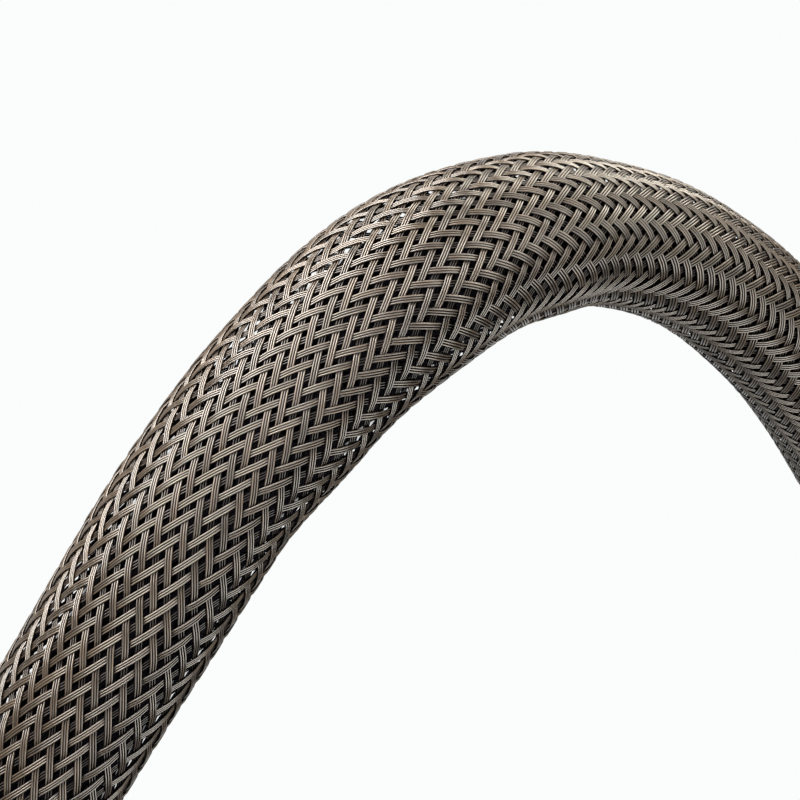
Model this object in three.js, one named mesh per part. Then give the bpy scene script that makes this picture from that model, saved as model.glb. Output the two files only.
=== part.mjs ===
// Braided cable sleeve, one metre long, lying flat on the floor in loose bends.
// Millimetres, Z up. The box of the part is centred on X = 0, Y = 0 and rests on Z = 0.
import * as THREE from 'three';

// Sleeve
const NOMINAL_RADIUS = 10;
const WALL = 0.6;
const SIDES = 24;

// Route of the centreline, seen from above. It sets off along +X. Each stretch is a
// length and the turn made along it, counter-clockwise in degrees.
const ROUTE = [
  [194.4, 0],
  [172.8, 180],
  [115, 0],
  [30, -16.7],
  [20, -26.7],
  [20, -20.2],
  [20, -14.4],
  [20, -10],
  [20, -7],
  [20, -5],
  [15, 0],
  [182.4, 190],
  [170.4, 0],
];

// The braid opens and closes along the middle bend. Each entry is a distance from the
// start and the outer radius there as a share of the nominal one.
const SWELL = [
  [380, 1],
  [425, 0.91],
  [455, 0.935],
  [490, 0.98],
  [505, 1.04],
  [522, 1.085],
  [540, 1.02],
  [556, 0.935],
  [575, 0.945],
  [600, 1],
];

// Longest steps between cross sections
const MAX_TURN = 7.5;
const MAX_STEP = 40;
const MAX_SWELL_STEP = 8;

// Filament colour
const BRAID_MATERIAL = new THREE.MeshStandardMaterial({
  color: 0x5f564e,
  roughness: 0.4,
  metalness: 0,
});

function radiusAt(distance) {
  const last = SWELL.length - 1;
  if (distance <= SWELL[0][0] || distance >= SWELL[last][0]) {
    return NOMINAL_RADIUS;
  }
  const next = SWELL.findIndex((point) => point[0] > distance);
  const [s0, share0] = SWELL[next - 1];
  const [s1, share1] = SWELL[next];
  const blend = (1 - Math.cos((Math.PI * (distance - s0)) / (s1 - s0))) / 2;
  return NOMINAL_RADIUS * (share0 + (share1 - share0) * blend);
}

// Number of cross sections for one stretch: enough for its turn, its length and the swell.
function stepsFor(length, turn, from) {
  const swelling = from + length > SWELL[0][0] && from < SWELL[SWELL.length - 1][0];
  const longest = swelling ? MAX_SWELL_STEP : MAX_STEP;
  return Math.ceil(Math.max(length / longest, Math.abs(turn) / MAX_TURN));
}

// Points along the centreline, each with its heading and its distance from the start.
function walkRoute() {
  let x = 0;
  let y = 0;
  let heading = 0;
  let distance = 0;
  const stations = [{ x, y, heading, distance }];
  for (const [length, turn] of ROUTE) {
    const count = stepsFor(length, turn, distance);
    const bend = THREE.MathUtils.degToRad(turn) / count;
    const arc = length / count;
    const chord = bend === 0 ? arc : (arc * Math.sin(bend / 2)) / (bend / 2);
    for (let i = 0; i < count; i += 1) {
      x += chord * Math.cos(heading + bend / 2);
      y += chord * Math.sin(heading + bend / 2);
      heading += bend;
      distance += arc;
      stations.push({ x, y, heading, distance });
    }
  }
  return stations;
}

// Moves the route so that its middle in X and in Y is on the origin.
function centreRoute(stations) {
  const xs = stations.map((station) => station.x);
  const ys = stations.map((station) => station.y);
  const middleX = (Math.min(...xs) + Math.max(...xs)) / 2;
  const middleY = (Math.min(...ys) + Math.max(...ys)) / 2;
  for (const station of stations) {
    station.x -= middleX;
    station.y -= middleY;
  }
  return stations;
}

// Corners of one cross section. The section has a flat side at the bottom, on the floor.
function ringAt(station, inset) {
  const outer = radiusAt(station.distance);
  const flat = Math.cos(Math.PI / SIDES);
  const radius = outer - inset / flat;
  const across = [-Math.sin(station.heading), Math.cos(station.heading)];
  const corners = [];
  for (let i = 0; i < SIDES; i += 1) {
    const angle = (2 * Math.PI * (i + 0.5)) / SIDES - Math.PI / 2;
    const side = radius * Math.cos(angle);
    const x = station.x + side * across[0];
    const y = station.y + side * across[1];
    const z = outer * flat + radius * Math.sin(angle);
    corners.push(x, y, z);
  }
  return corners;
}

// Triangles between two rings of corners, given by their first corner numbers.
function joinRings(first, second, index) {
  for (let i = 0; i < SIDES; i += 1) {
    const next = (i + 1) % SIDES;
    index.push(first + i, first + next, second + next);
    index.push(first + i, second + next, second + i);
  }
}

// A closed hollow tube: outer skin, inner skin and a flat ring at each cut end.
function sleeveGeometry() {
  const stations = centreRoute(walkRoute());
  const positions = [];
  const index = [];
  for (const station of stations) {
    positions.push(...ringAt(station, 0));
    positions.push(...ringAt(station, WALL));
  }
  const stride = 2 * SIDES;
  const last = (stations.length - 1) * stride;
  for (let base = 0; base < last; base += stride) {
    joinRings(base, base + stride, index);
    joinRings(base + stride + SIDES, base + SIDES, index);
  }
  joinRings(SIDES, 0, index);
  joinRings(last, last + SIDES, index);
  const geometry = new THREE.BufferGeometry();
  geometry.setAttribute('position', new THREE.Float32BufferAttribute(positions, 3));
  geometry.setIndex(index);
  geometry.computeVertexNormals();
  return geometry;
}

const sleeve = new THREE.Mesh(sleeveGeometry(), BRAID_MATERIAL);
sleeve.name = 'braided_sleeve';

const part = new THREE.Group();
part.name = 'part';
part.add(sleeve);

export default part;
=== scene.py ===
# A braided cable sleeve lying in loose bends on a pale floor, seen close from above.
# Lengths are in millimetres up to the point where a mesh or the camera takes them.
import math

import bpy
import numpy as np
from mathutils import Matrix, Vector

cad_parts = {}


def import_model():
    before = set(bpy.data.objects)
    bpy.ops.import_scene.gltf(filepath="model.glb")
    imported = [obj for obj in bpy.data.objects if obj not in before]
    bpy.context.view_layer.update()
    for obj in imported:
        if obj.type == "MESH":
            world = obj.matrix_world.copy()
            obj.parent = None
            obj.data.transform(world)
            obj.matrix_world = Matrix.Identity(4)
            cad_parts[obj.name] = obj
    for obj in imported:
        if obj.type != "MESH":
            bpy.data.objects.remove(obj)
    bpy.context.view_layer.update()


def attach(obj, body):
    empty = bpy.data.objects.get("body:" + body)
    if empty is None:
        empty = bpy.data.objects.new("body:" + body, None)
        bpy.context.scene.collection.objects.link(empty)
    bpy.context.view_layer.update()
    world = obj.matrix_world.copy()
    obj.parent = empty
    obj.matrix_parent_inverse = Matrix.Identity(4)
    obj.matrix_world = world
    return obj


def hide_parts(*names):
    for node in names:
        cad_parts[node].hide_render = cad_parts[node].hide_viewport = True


MM = 0.001

# Sleeve: the outer radius, the route and the swell are the CAD solid's own.
NOMINAL_RADIUS = 10
SECTION_SIDES = 24
LENGTH = 1000

# Each stretch of the route is a length and the turn made along it in degrees.
ROUTE = [
    (194.4, 0),
    (172.8, 180),
    (115, 0),
    (30, -16.7),
    (20, -26.7),
    (20, -20.2),
    (20, -14.4),
    (20, -10),
    (20, -7),
    (20, -5),
    (15, 0),
    (182.4, 190),
    (170.4, 0),
]

# Distance from the start, and the outer radius there as a share of the nominal one.
SWELL = [
    (380, 1),
    (425, 0.91),
    (455, 0.935),
    (490, 0.98),
    (505, 1.04),
    (522, 1.085),
    (540, 1.02),
    (556, 0.935),
    (575, 0.945),
    (600, 1),
]

# Braid
BUNDLES = 36
FILAMENTS = 3
FILAMENT_RADIUS = 0.121
FILAMENT_SPACING = 0.253
WEAVE_DEPTH = 0.18
WEAVE_SQUARENESS = 1.8
TONE_SEED = 5

# Each bundle wanders a little, sideways and up and down, in waves of so many bundle
# spacings. The waves' lengths spread from bundle to bundle.
SIDE_WANDER = 0.06
LIFT_WANDER = 0.035
WANDER_WAVES = (3.1, 7.3, 17.0)
WANDER_SPREAD = (0.8, 1.25)
WANDER_SEED = 11

# Length of sleeve in which a bundle moves round by one bundle spacing: distance, length.
PITCH = [
    (0, 2.9),
    (440, 2.98),
    (470, 2.9),
    (490, 2.7),
    (503, 2.45),
    (520, 2.35),
    (535, 2.3),
    (546, 2.4),
    (556, 2.55),
    (575, 2.75),
    (600, 2.85),
    (640, 2.9),
]

# Where the lines of crossings run along the sleeve: their number, and the angle in degrees
# round the sleeve from its left side over its top.
COLUMNS = [
    (0, -9),
    (1, 2.3),
    (2, 12.3),
    (3, 20.8),
    (4, 28.6),
    (8, 60.6),
    (9, 69.2),
    (10, 78.8),
    (11, 89.8),
    (12, 102.7),
    (13, 117.3),
    (14, 131.5),
    (15, 143),
    (36, 351),
]
COLUMN_BLUR = 0.6

# A strand lies on top over two crossings, and this is how far on the middle between them is.
MIDDLE = 0.25

# The lines of crossings move apart on the inside of a bend and together on its outside.
# Distance, then how far the wide side is towards the left and towards the top.
CROWDING = [
    (150, 0, 0),
    (215, 0.35, 0),
    (345, 0.35, 0),
    (400, 0, 0),
    (430, 0.15, 0.09),
    (475, 0.15, 0.09),
    (500, 0, 0),
    (520, -0.01, 0.02),
    (530, -0.03, 0.06),
    (540, -0.03, 0.16),
    (565, -0.09, 0.21),
    (605, -0.09, 0.2),
    (640, 0.2, 0),
    (665, 0.35, 0),
    (760, 0.35, 0),
    (830, 0, 0),
]

# How much wider than elsewhere the bundles are: distance, share. They are also wider
# where the lines of crossings are further apart.
FULLNESS = [(475, 1), (505, 1.04), (531, 1.1), (550, 1.2), (568, 1.42), (620, 1.42)]
FULLNESS_BY_SPACING = 0.3

# The camera sees this stretch, and its filaments are modelled one by one. The strands
# have this many steps to a crossing there.
CLOSE_STRETCH = (428, 652)
CLOSE_STEPS = 4

# Elsewhere a bundle is a ribbon: its steps to a crossing, and its section.
FAR_STEPS = 2
FAR_HALF_WIDTH = 0.42
FAR_SHOULDER = 0.22
FAR_HEIGHT = 0.09

# The braid is shared out over this many pieces.
PIECES = 6

# Plastic: a filament's colour lies between these two.
DARK_FILAMENT = (0.013, 0.0093, 0.0065, 1)
LIGHT_FILAMENT = (0.036, 0.026, 0.0178, 1)
ROUGHNESS = 0.3
REFRACTIVE_INDEX = 1.57
# The grooves of a ribbon: the tone of their painted shade, then their bump's strength and depth.
RIBBON_GROOVE_SHADE_TONE = 0.35
RIBBON_GROOVE_STRENGTH = 0.6
RIBBON_GROOVE_DEPTH = 0.1

# Painted shade round a filament: its value goes from 0 on its top over a half at its sides to 1
# underneath, more in grooves and under others. The surface is painted as good as black from the
# higher of these values on.
UNLIT_COLOUR = (0.003, 0.003, 0.004, 1)
UNLIT_FROM = 0.22
UNLIT_TO = 0.48

# Painted shade in the grooves between filaments, how dark: angle round the sleeve, share. On the
# low left side it is lighter, as painted light of the floor.
GROOVE_PAINTED_SHADE = [(0, 0.6), (18, 0.65), (45, 1), (90, 1.1), (140, 1), (320, 1), (345, 0.6), (360, 0.6)]

# Painted shade where a filament lies under the others: how much darker its top and its sides are.
UNDER_SHADE_TOP = 0.34
UNDER_SHADE_SIDE = 0.12

# Camera
CAMERA_FOOT = (-25.66, -110.99)
CAMERA_HEIGHT = 105.3
VIEW_HEADING = 91.21
VIEW_DOWN = 46.97
VIEW_ROLL = 119.9
LENS = 49.5
SENSOR = 36
CLIP_START = 5
CLIP_END = 20000

# Floor
FLOOR_SIZE = 6000
FLOOR_DROP = 0.15
FLOOR_COLOUR = (0.96, 0.98, 0.975, 1)

# The painted shadow on the floor, seen behind the sleeve: place across the picture of the sleeve,
# from the lower right to the upper left as a share of its radius, and the floor's glow.
SHADE = [(-0.85, 1), (-0.74, 0.01), (-0.6, 0), (0.5, 0), (0.6, 0.01), (0.67, 1)]
SHADE_LIFT = 0.05

# Lights: name, place, point aimed at, size, watts and colour.
SKY_COLOUR = (0.97, 0.97, 0.96, 1)
SKY_STRENGTH = 0.18
LIGHTS = [
    ("low", (-51, -125, 24), (-26, -25, 10), (195, 42), 1.26, (1.0, 0.95, 0.88)),
    ("side", (-150, 5, 20), (-64, 40, 10), (120, 30), 0.32, (1.0, 0.94, 0.82)),
    ("near", (-120, 20, 110), (-50, 15, 10), (100, 100), 0.11, (1.0, 0.92, 0.76)),
    ("sky", (60, 140, 320), (-55, 25, 10), (300, 300), 3.2, (1.0, 0.97, 0.89)),
]


def walk_route():
    """Distance, x, y and heading at every millimetre or so of the centreline."""
    x, y, heading, distance = 0.0, 0.0, 0.0, 0.0
    rows = [(distance, x, y, heading)]
    for length, turn in ROUTE:
        count = math.ceil(length)
        arc = length / count
        bend = math.radians(turn) / count
        chord = arc if bend == 0 else arc * math.sin(bend / 2) / (bend / 2)
        for _ in range(count):
            x += chord * math.cos(heading + bend / 2)
            y += chord * math.sin(heading + bend / 2)
            heading += bend
            distance += arc
            rows.append((distance, x, y, heading))
    return np.array(rows)


def centre_route(rows):
    """Moves the route so that its middle in X and in Y is on the origin."""
    for column in (1, 2):
        rows[:, column] -= (rows[:, column].min() + rows[:, column].max()) / 2
    return rows


LINE = centre_route(walk_route())


def radius_at(distance):
    """Outer radius of the sleeve at each distance from its start."""
    at, share = np.array(SWELL, float).T
    inside = np.clip(distance, at[0], at[-1])
    low = np.clip(np.searchsorted(at, inside, side="right") - 1, 0, len(at) - 2)
    along = (inside - at[low]) / (at[low + 1] - at[low])
    blend = (1 - np.cos(np.pi * along)) / 2
    return NOMINAL_RADIUS * (share[low] + (share[low + 1] - share[low]) * blend)


def middle_height(radius):
    """Height of the sleeve's middle, since a flat side of its section is on the floor."""
    return radius * math.cos(math.pi / SECTION_SIDES)


def turns_along():
    """The number of bundle spacings that a strand has moved round, along the route."""
    pitch = np.interp(LINE[:, 0], *np.array(PITCH, float).T)
    steps = np.diff(LINE[:, 0]) * (1 / pitch[1:] + 1 / pitch[:-1]) / 2
    return np.concatenate([[0], np.cumsum(steps)])


TURNS = turns_along()


def wander(rng, turns, size):
    """A slow random wandering of each bundle, along turns."""
    total = np.zeros((BUNDLES, len(turns)))
    for wavelength in WANDER_WAVES:
        phase = rng.uniform(0, 2 * np.pi, (BUNDLES, 1))
        pace = 2 * np.pi / (wavelength * rng.uniform(*WANDER_SPREAD, (BUNDLES, 1)))
        total += np.sin(pace * turns[None] + phase)
    return size * total / len(WANDER_WAVES)


def weave(column):
    """From 1 where a strand lies over the others to -1 where it lies under them."""
    wave = np.sin(np.pi * (column + MIDDLE))
    return np.tanh(WEAVE_SQUARENESS * wave) / math.tanh(WEAVE_SQUARENESS)


def around(column, distance):
    """Angle round the sleeve of a column, in which every strand of one way lies on top."""
    at, degrees = np.array(COLUMNS, float).T
    shifts = (-COLUMN_BLUR, 0, COLUMN_BLUR)
    total = 0
    for shift in shifts:
        rounds, rest = np.divmod(column - MIDDLE + shift, BUNDLES)
        total = total + 360 * rounds + np.interp(rest, at, degrees)
    angle = np.radians(total / len(shifts))
    at, left, top = np.array(CROWDING, float).T
    to_left = np.interp(distance, at, left)[None]
    to_top = np.interp(distance, at, top)[None]
    return angle + to_left * np.sin(angle) - to_top * np.cos(angle)


def fullness(column, distance):
    """How much wider than elsewhere each bundle is."""
    at, share = np.array(FULLNESS, float).T
    gap = around(column + 0.5, distance) - around(column - 0.5, distance)
    by_spacing = FULLNESS_BY_SPACING * (gap * BUNDLES / (2 * np.pi) - 1)
    return (np.interp(distance, at, share)[None] * (1 + by_spacing))[..., None]


def place(distance, angle, height, radius):
    """Points at an angle round the centreline and a height from it, and their outward way."""
    x, y, heading = (np.interp(distance, LINE[:, 0], LINE[:, i]) for i in (1, 2, 3))
    left = np.stack([-np.sin(heading), np.cos(heading)], axis=1)
    flat = np.cos(angle)[..., None] * left[None]
    outward = np.concatenate([flat, np.sin(angle)[..., None]], axis=2)
    middle = np.stack([x, y, middle_height(radius)], axis=1)[None]
    return middle + outward * height[..., None], outward


class Strands:
    """The bundles that run one way round, sampled at the given turns."""

    def __init__(self, way, numbers, turns):
        rng = np.random.default_rng(WANDER_SEED + way)
        side = wander(rng, turns, SIDE_WANDER)[numbers]
        lift = wander(rng, turns, LIFT_WANDER)[numbers]
        column = np.asarray(numbers)[:, None] + way * turns[None]
        over = way * weave(column)
        distance = np.interp(turns, TURNS, LINE[:, 0])
        radius = radius_at(distance)
        middle = radius - WEAVE_DEPTH - FILAMENT_RADIUS
        height = middle[None] + WEAVE_DEPTH * over + lift
        angle = around(column, distance) + side / middle[None]
        # How dark the painted shade in the grooves is, by the angle round the sleeve.
        self.grooves = np.interp(np.degrees(angle) % 360, *np.array(GROOVE_PAINTED_SHADE, float).T)
        self.under = np.clip(-over, 0, 1)
        self.centre, self.normal = place(distance, angle, height, radius)
        along = np.gradient(self.centre, axis=1)
        along /= np.linalg.norm(along, axis=2, keepdims=True)
        self.across = np.cross(along, self.normal)
        self.normal = np.cross(self.across, along)
        self.full = fullness(column, distance)


class Mesh:
    """Collects points, faces and point values of many strands for one mesh."""

    def __init__(self):
        self.points, self.faces = [], []
        self.values = {"tone": [], "across": [], "inward": []}
        self.count = 0

    def add(self, rings, closed, **values):
        """rings: strands x stations x corners x 3. Neighbouring rings are joined by quads."""
        strands, stations, corners, _ = rings.shape
        number = self.count + np.arange(strands * stations * corners)
        number = number.reshape(strands, stations, corners)
        following = np.roll(number, -1, axis=2)
        if not closed:
            number, following = number[..., :-1], following[..., :-1]
        quads = np.stack(
            [number[:, :-1], following[:, :-1], following[:, 1:], number[:, 1:]], axis=-1
        )
        self.points.append(rings.reshape(-1, 3))
        self.faces.append(quads.reshape(-1, 4))
        shape = (strands, stations, corners)
        for key, found in self.values.items():
            found.append(np.broadcast_to(values.get(key, 0), shape).reshape(-1))
        self.count += strands * stations * corners

    def build(self, name, material):
        points = np.concatenate(self.points) * MM
        faces = np.concatenate(self.faces)
        data = bpy.data.meshes.new(name)
        data.vertices.add(len(points))
        data.vertices.foreach_set("co", points.astype(np.float32).ravel())
        data.loops.add(faces.size)
        data.loops.foreach_set("vertex_index", faces.astype(np.int32).ravel())
        data.polygons.add(len(faces))
        starts = np.arange(0, faces.size, 4, dtype=np.int32)
        data.polygons.foreach_set("loop_start", starts)
        for key, values in self.values.items():
            set_point_value(data, key, np.concatenate(values))
        data.update(calc_edges=True)
        data.shade_smooth()
        data.materials.append(material)
        piece = bpy.data.objects.new(name, data)
        bpy.context.scene.collection.objects.link(piece)
        return piece


def set_point_value(data, name, values):
    layer = data.attributes.new(name, "FLOAT", "POINT")
    layer.data.foreach_set("value", values.astype(np.float32).ravel())


def add_filaments(mesh, way, numbers, turns, tones):
    """The three filaments of each bundle, each a tube with a diamond section."""
    strands = Strands(way, numbers, turns)
    # Painted shade at the corners: more on the top and sides where a filament lies under others,
    # and at the sides by the groove table, which has painted floor light on the low left side.
    top = UNDER_SHADE_TOP * strands.under
    side = strands.grooves / 2 + UNDER_SHADE_SIDE * strands.under
    inward = np.stack([top, side, np.ones_like(side), side], axis=2)
    for i in range(FILAMENTS):
        offset = (i - (FILAMENTS - 1) / 2) * FILAMENT_SPACING * strands.full
        middle = strands.centre + strands.across * offset
        corners = []
        for quarter in range(4):
            out = FILAMENT_RADIUS * math.cos(math.pi / 2 * quarter)
            aside = FILAMENT_RADIUS * math.sin(math.pi / 2 * quarter) * strands.full
            corners.append(middle + strands.normal * out + strands.across * aside)
        tone = tones[numbers, i][:, None, None]
        mesh.add(np.stack(corners, axis=2), True, tone=tone, inward=inward)


def add_ribbons(mesh, way, numbers, turns, tones):
    """Each bundle as one ribbon with sloping edges."""
    strands = Strands(way, numbers, turns)
    profile = [
        (-FAR_HALF_WIDTH, -FAR_HEIGHT),
        (-FAR_SHOULDER, FAR_HEIGHT),
        (FAR_SHOULDER, FAR_HEIGHT),
        (FAR_HALF_WIDTH, -FAR_HEIGHT),
    ]
    corners = []
    across = []
    for side, out in profile:
        corners.append(strands.centre + strands.normal * out + strands.across * side)
        across.append(side / FAR_HALF_WIDTH)
    tone = tones[numbers].mean(axis=1)[:, None, None]
    mesh.add(np.stack(corners, axis=2), False, tone=tone, across=np.array(across))


def turns_between(start, end, steps):
    """Samples of the strands' turns between two distances, on the crossings."""
    low, high = np.interp([start, end], LINE[:, 0], TURNS)
    first, last = round(low * FAR_STEPS), round(high * FAR_STEPS)
    count = (last - first) * steps // FAR_STEPS + 1
    return np.linspace(first / FAR_STEPS, last / FAR_STEPS, count)


def build_braid(material):
    rng = np.random.default_rng(TONE_SEED)
    tones = {way: rng.uniform(0, 1, (BUNDLES, FILAMENTS)) for way in (1, -1)}
    stretches = [
        (add_ribbons, turns_between(0, CLOSE_STRETCH[0], FAR_STEPS)),
        (add_filaments, turns_between(*CLOSE_STRETCH, CLOSE_STEPS)),
        (add_ribbons, turns_between(CLOSE_STRETCH[1], LENGTH, FAR_STEPS)),
    ]
    pieces = []
    for part in range(PIECES):
        mesh = Mesh()
        numbers = np.arange(part, BUNDLES, PIECES)
        for way in (1, -1):
            for add, turns in stretches:
                add(mesh, way, numbers, turns, tones[way])
        pieces.append(mesh.build(f"bundles_{part + 1}", material))
    return pieces


def new_material(name):
    """A material without nodes, with the collections that take its nodes and links."""
    material = bpy.data.materials.new(name)
    material.use_nodes = True
    nodes, links = material.node_tree.nodes, material.node_tree.links
    nodes.clear()
    return material, nodes, links


def point_value(nodes, name):
    """The value of that name that each point of a mesh carries."""
    node = nodes.new("ShaderNodeAttribute")
    node.attribute_name = name
    return node.outputs["Fac"]


def add_ridges(nodes, links):
    """From 1 on each filament of a ribbon to 0 in the grooves between them."""
    phase = nodes.new("ShaderNodeMath")
    phase.operation = "MULTIPLY"
    phase.inputs[1].default_value = math.pi * FILAMENTS / 2
    links.new(point_value(nodes, "across"), phase.inputs[0])
    cosine = nodes.new("ShaderNodeMath")
    cosine.operation = "COSINE"
    links.new(phase.outputs[0], cosine.inputs[0])
    ridges = nodes.new("ShaderNodeMath")
    ridges.operation = "ABSOLUTE"
    links.new(cosine.outputs[0], ridges.inputs[0])
    return ridges.outputs[0]


def add_colour(nodes, links, ridges):
    """The plastic's colour, by the filament's tone, and darker in a ribbon's grooves, as painted
    shade.
    """
    ramp = nodes.new("ShaderNodeValToRGB")
    ramp.color_ramp.elements[0].color = DARK_FILAMENT
    ramp.color_ramp.elements[1].color = LIGHT_FILAMENT
    links.new(point_value(nodes, "tone"), ramp.inputs["Fac"])
    groove_shade = nodes.new("ShaderNodeMapRange")
    groove_shade.inputs["To Min"].default_value = RIBBON_GROOVE_SHADE_TONE
    links.new(ridges, groove_shade.inputs["Value"])
    colour = nodes.new("ShaderNodeMix")
    colour.data_type = "RGBA"
    colour.blend_type = "MULTIPLY"
    colour.inputs["Factor"].default_value = 1
    links.new(ramp.outputs["Color"], colour.inputs["A"])
    links.new(groove_shade.outputs["Result"], colour.inputs["B"])
    return colour.outputs["Result"]


def add_plastic(nodes, links):
    """Grey-brown glossy plastic, with the grooves of the ribbons in it as bumps and painted
    shade.
    """
    ridges = add_ridges(nodes, links)
    bump = nodes.new("ShaderNodeBump")
    bump.inputs["Strength"].default_value = RIBBON_GROOVE_STRENGTH
    bump.inputs["Distance"].default_value = RIBBON_GROOVE_DEPTH * MM
    links.new(ridges, bump.inputs["Height"])
    plastic = nodes.new("ShaderNodeBsdfPrincipled")
    plastic.inputs["Roughness"].default_value = ROUGHNESS
    plastic.inputs["IOR"].default_value = REFRACTIVE_INDEX
    links.new(add_colour(nodes, links, ridges), plastic.inputs["Base Color"])
    links.new(bump.outputs["Normal"], plastic.inputs["Normal"])
    return plastic.outputs["BSDF"]


def monofilament():
    """The plastic, with painted shade as good as black where a filament would get no light.

    That is on the side that faces into the sleeve and in the grooves between filaments,
    and in part where a filament lies under others.
    """
    material, nodes, links = new_material("monofilament")
    unlit = nodes.new("ShaderNodeMapRange")
    unlit.inputs["From Min"].default_value = UNLIT_FROM
    unlit.inputs["From Max"].default_value = UNLIT_TO
    links.new(point_value(nodes, "inward"), unlit.inputs["Value"])
    dark = nodes.new("ShaderNodeBsdfDiffuse")
    dark.inputs["Color"].default_value = UNLIT_COLOUR
    both = nodes.new("ShaderNodeMixShader")
    links.new(unlit.outputs["Result"], both.inputs[0])
    links.new(add_plastic(nodes, links), both.inputs[1])
    links.new(dark.outputs["BSDF"], both.inputs[2])
    out = nodes.new("ShaderNodeOutputMaterial")
    links.new(both.outputs["Shader"], out.inputs["Surface"])
    return material


def glowing(name, strength=None):
    """Light in the floor's colour, by default full, otherwise by a point value."""
    material, nodes, links = new_material(name)
    glow = nodes.new("ShaderNodeEmission")
    glow.inputs["Color"].default_value = FLOOR_COLOUR
    if strength:
        links.new(point_value(nodes, strength), glow.inputs["Strength"])
    out = nodes.new("ShaderNodeOutputMaterial")
    links.new(glow.outputs[0], out.inputs["Surface"])
    return material


def add_floor():
    """A pale floor that glows evenly, like a light table."""
    half = FLOOR_SIZE * MM / 2
    drop = -FLOOR_DROP * MM
    data = bpy.data.meshes.new("floor")
    corners = [(-half, -half, drop), (half, -half, drop), (half, half, drop), (-half, half, drop)]
    data.from_pydata(corners, [], [(0, 1, 2, 3)])
    data.materials.append(glowing("light_table"))
    floor = bpy.data.objects.new("floor", data)
    bpy.context.scene.collection.objects.link(floor)


def add_floor_shade():
    """A painted shadow of the sleeve on the floor, placed where light from beside the lens would
    throw it.

    It lies only under the stretch that the camera sees.
    """
    start, end = np.searchsorted(LINE[:, 0], CLOSE_STRETCH)
    rows = LINE[start:end:2]
    radius = radius_at(rows[:, 0])
    lens = np.array([*CAMERA_FOOT, CAMERA_HEIGHT])
    middle = np.stack([rows[:, 1], rows[:, 2], radius], axis=1)
    ray = middle - lens
    level = np.zeros_like(radius)
    along = np.stack([np.cos(rows[:, 3]), np.sin(rows[:, 3]), level], axis=1)
    across = np.cross(along, ray)
    across /= np.linalg.norm(across, axis=1, keepdims=True)
    points = []
    for share, _ in SHADE:
        edge = middle + across * (radius * share)[:, None] - lens
        reach = (lens[2] + FLOOR_DROP - SHADE_LIFT) / -edge[:, 2]
        points.append(lens + edge * reach[:, None])
    grid = np.stack(points, axis=1)
    mesh = Mesh()
    mesh.add(grid[None], False)
    shade = mesh.build("floor_shade", glowing("floor_shade", "glow"))
    glow = np.broadcast_to([value for _, value in SHADE], grid.shape[:2])
    set_point_value(shade.data, "glow", glow)


def add_area_light(name, place_mm, aim_mm, size_mm, power, colour):
    data = bpy.data.lights.new(name, "AREA")
    data.shape = "RECTANGLE"
    data.size, data.size_y = (length * MM for length in size_mm)
    data.energy = power
    data.color = colour
    light = bpy.data.objects.new(name, data)
    light.location = Vector(place_mm) * MM
    way = Vector(aim_mm) - Vector(place_mm)
    light.rotation_euler = way.to_track_quat("-Z", "Y").to_euler()
    bpy.context.scene.collection.objects.link(light)


def add_lights():
    world = bpy.data.worlds.new("sky")
    bpy.context.scene.world = world
    world.use_nodes = True
    background = world.node_tree.nodes["Background"]
    background.inputs["Color"].default_value = SKY_COLOUR
    background.inputs["Strength"].default_value = SKY_STRENGTH
    for light in LIGHTS:
        add_area_light(*light)


def add_camera():
    heading, down, roll = (math.radians(a) for a in (VIEW_HEADING, VIEW_DOWN, VIEW_ROLL))
    level = Vector((math.cos(heading), math.sin(heading), 0))
    forward = level * math.cos(down) - Vector((0, 0, math.sin(down)))
    right = level.cross(Vector((0, 0, 1)))
    upward = right.cross(forward)
    side = right * math.cos(roll) + upward * math.sin(roll)
    top = upward * math.cos(roll) - right * math.sin(roll)
    data = bpy.data.cameras.new("camera")
    data.lens = LENS
    data.sensor_width = SENSOR
    data.clip_start = CLIP_START * MM
    data.clip_end = CLIP_END * MM
    camera = bpy.data.objects.new("camera", data)
    place_mm = Vector((*CAMERA_FOOT, CAMERA_HEIGHT))
    turn = Matrix((side, top, -forward)).transposed().to_4x4()
    camera.matrix_world = Matrix.Translation(place_mm * MM) @ turn
    bpy.context.scene.collection.objects.link(camera)
    bpy.context.scene.camera = camera


def main():
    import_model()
    add_camera()
    pieces = build_braid(monofilament())
    for piece in pieces:
        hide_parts("braided_sleeve")
        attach(piece, "root")
    add_floor()
    add_floor_shade()
    add_lights()
    bpy.context.scene.view_settings.view_transform = "Standard"


main()
